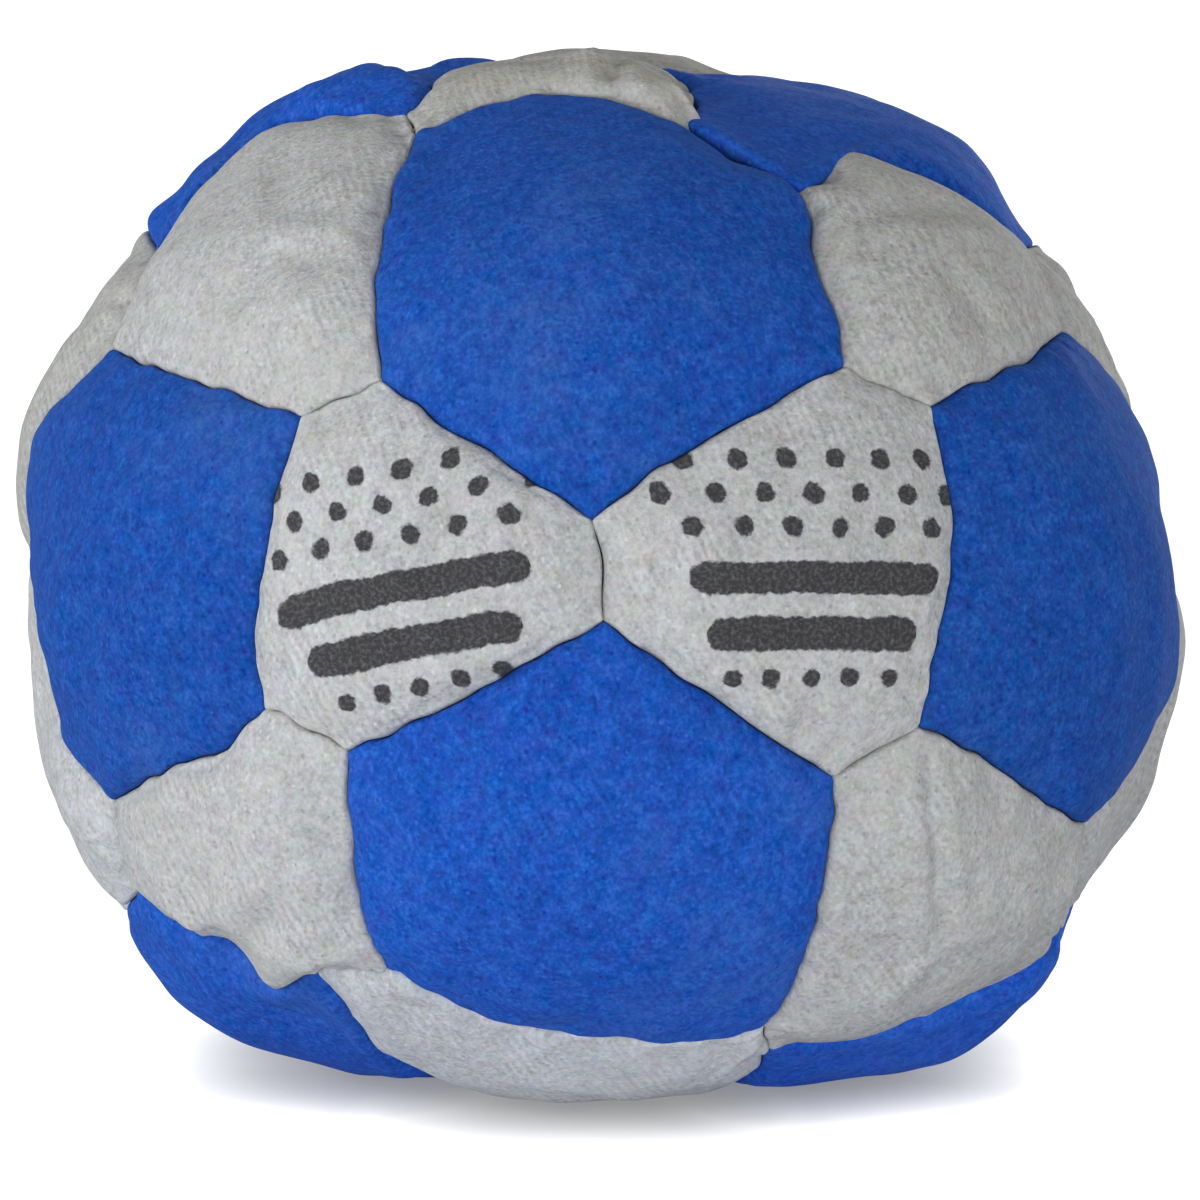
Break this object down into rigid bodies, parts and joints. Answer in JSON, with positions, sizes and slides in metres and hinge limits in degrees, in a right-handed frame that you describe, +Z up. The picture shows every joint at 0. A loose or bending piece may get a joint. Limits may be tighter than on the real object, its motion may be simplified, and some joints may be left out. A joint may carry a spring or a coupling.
{
  "type": "footbag",
  "caption": "Soft footbag of blue and grey suede panels sewn edge to edge round loose sand, resting on its pressed flat; for kicking and catching on the feet.",
  "frame": {"origin": "middle of the bag's footprint, on the flat it rests on", "axes": "+Z up, the pictured front faces -Y, +X to the right as seen from the front"},
  "size_m": [0.0508, 0.0518, 0.0446],
  "materials": {
    "blue_suede": "matt brushed nap, royal blue synthetic suede",
    "grey_suede": "matt brushed nap, light warm grey synthetic suede",
    "thread": "matt twisted polyester thread",
    "sand": "loose dry fine sand"
  },
  "bodies": {
    "root": {"blue_panel_front_top": "blue_suede", "blue_panel_front_bottom": "blue_suede", "blue_panel_left_front": "blue_suede", "blue_panel_right_front": "blue_suede", "blue_panel_top_left": "blue_suede", "blue_panel_top_right": "blue_suede", "blue_panel_bottom_left": "blue_suede", "blue_panel_bottom_right": "blue_suede", "blue_panel_left_back": "blue_suede", "blue_panel_right_back": "blue_suede", "blue_panel_back_bottom": "blue_suede", "blue_panel_back_top": "blue_suede", "grey_panel_front_left": "grey_suede", "grey_panel_front_right": "grey_suede", "grey_panel_front_upper_left": "grey_suede", "grey_panel_front_upper_right": "grey_suede", "grey_panel_front_lower_left": "grey_suede", "grey_panel_front_lower_right": "grey_suede", "grey_panel_top_front": "grey_suede", "grey_panel_top_back": "grey_suede", "grey_panel_bottom_front": "grey_suede", "grey_panel_bottom_back": "grey_suede", "grey_panel_left_upper": "grey_suede", "grey_panel_left_lower": "grey_suede", "grey_panel_right_upper": "grey_suede", "grey_panel_right_lower": "grey_suede", "grey_panel_back_left": "grey_suede", "grey_panel_back_right": "grey_suede", "grey_panel_back_upper_left": "grey_suede", "grey_panel_back_upper_right": "grey_suede", "grey_panel_back_lower_left": "grey_suede", "grey_panel_back_lower_right": "grey_suede", "thread_round_front_top": "thread", "thread_round_front_bottom": "thread", "thread_round_left_front": "thread", "thread_round_right_front": "thread", "thread_round_top_left": "thread", "thread_round_top_right": "thread", "thread_round_bottom_left": "thread", "thread_round_bottom_right": "thread", "thread_round_left_back": "thread", "thread_round_right_back": "thread", "thread_round_back_bottom": "thread", "closing_thread": "thread", "sand_fill": "sand"}
  },
  "joints": []
}
